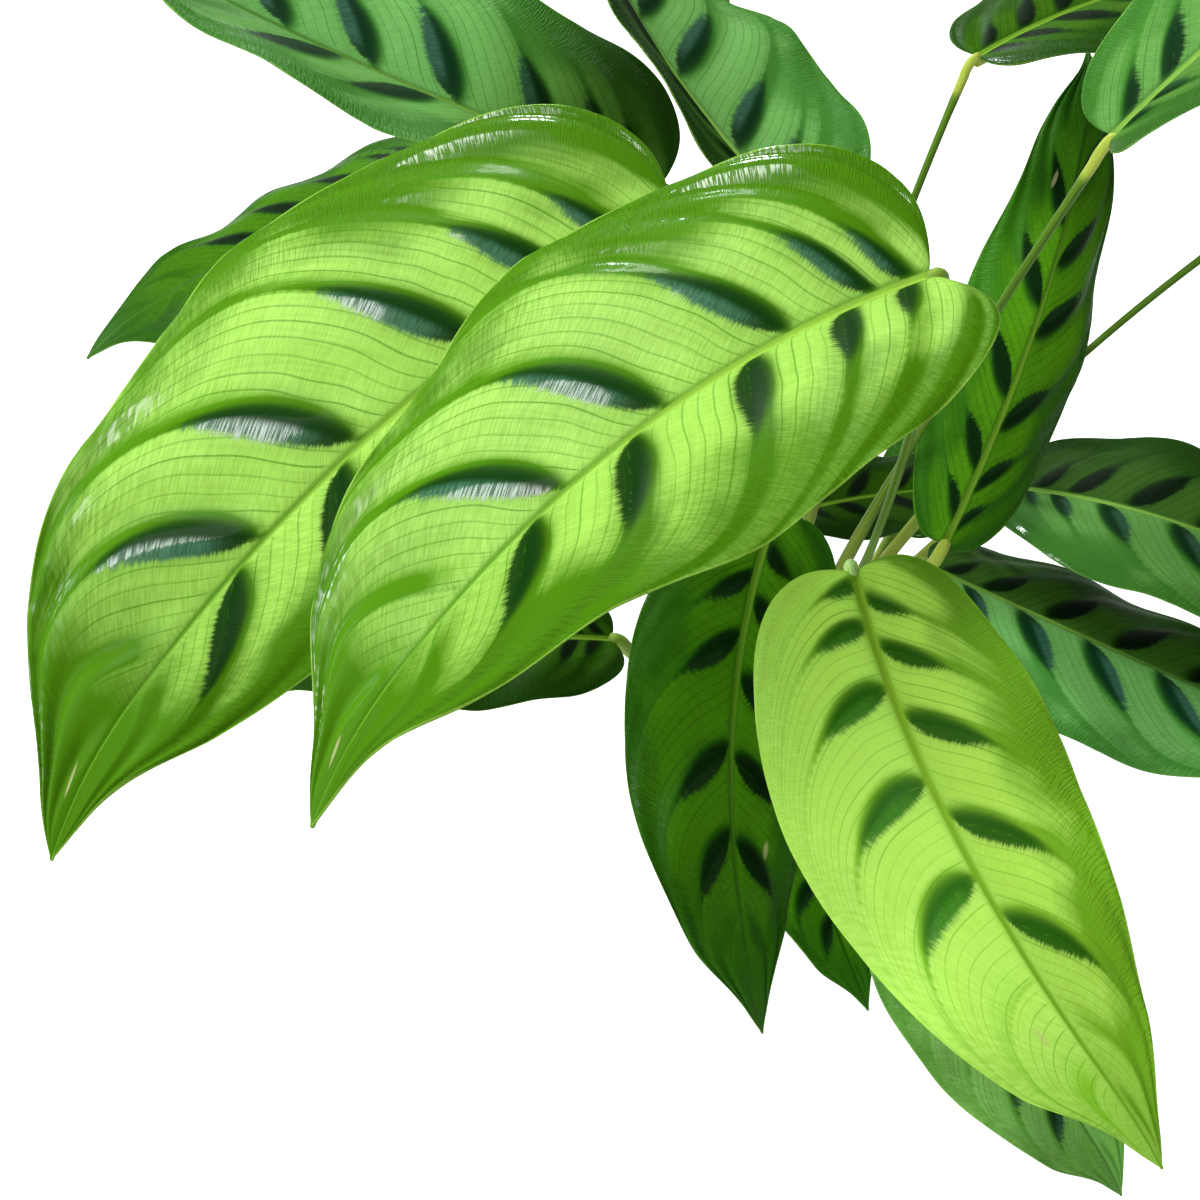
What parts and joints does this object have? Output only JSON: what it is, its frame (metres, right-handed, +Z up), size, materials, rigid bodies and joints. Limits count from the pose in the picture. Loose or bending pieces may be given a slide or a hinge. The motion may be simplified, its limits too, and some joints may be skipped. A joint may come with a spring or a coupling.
{
  "type": "potted calathea",
  "caption": "Potted calathea: long-stalked, feather-marked oval leaves arching out of one crown in a plain round tapered pot filled with potting mix.",
  "frame": {"origin": "centre of the pot's flat underside, the face the plant stands on", "axes": "+Z up along the pot's axis; -Y is the side that the largest leaf arches over, nearest to the viewer"},
  "size_m": [0.6214, 0.649, 0.6128],
  "materials": {
    "pot_glaze": "satin",
    "potting_mix": "matte",
    "leaf": "satin"
  },
  "bodies": {
    "root": {"pot": "pot_glaze", "soil": "potting_mix", "leaf_01": "leaf", "leaf_02": "leaf", "leaf_03": "leaf", "leaf_04": "leaf", "leaf_05": "leaf", "leaf_06": "leaf", "leaf_07": "leaf", "leaf_08": "leaf", "leaf_09": "leaf", "leaf_10": "leaf", "leaf_11": "leaf", "leaf_12": "leaf", "leaf_13": "leaf", "leaf_14": "leaf", "leaf_15": "leaf", "leaf_16": "leaf", "leaf_17": "leaf", "leaf_18": "leaf", "leaf_19": "leaf", "leaf_20": "leaf", "leaf_21": "leaf", "leaf_22": "leaf", "leaf_23": "leaf"}
  },
  "joints": []
}
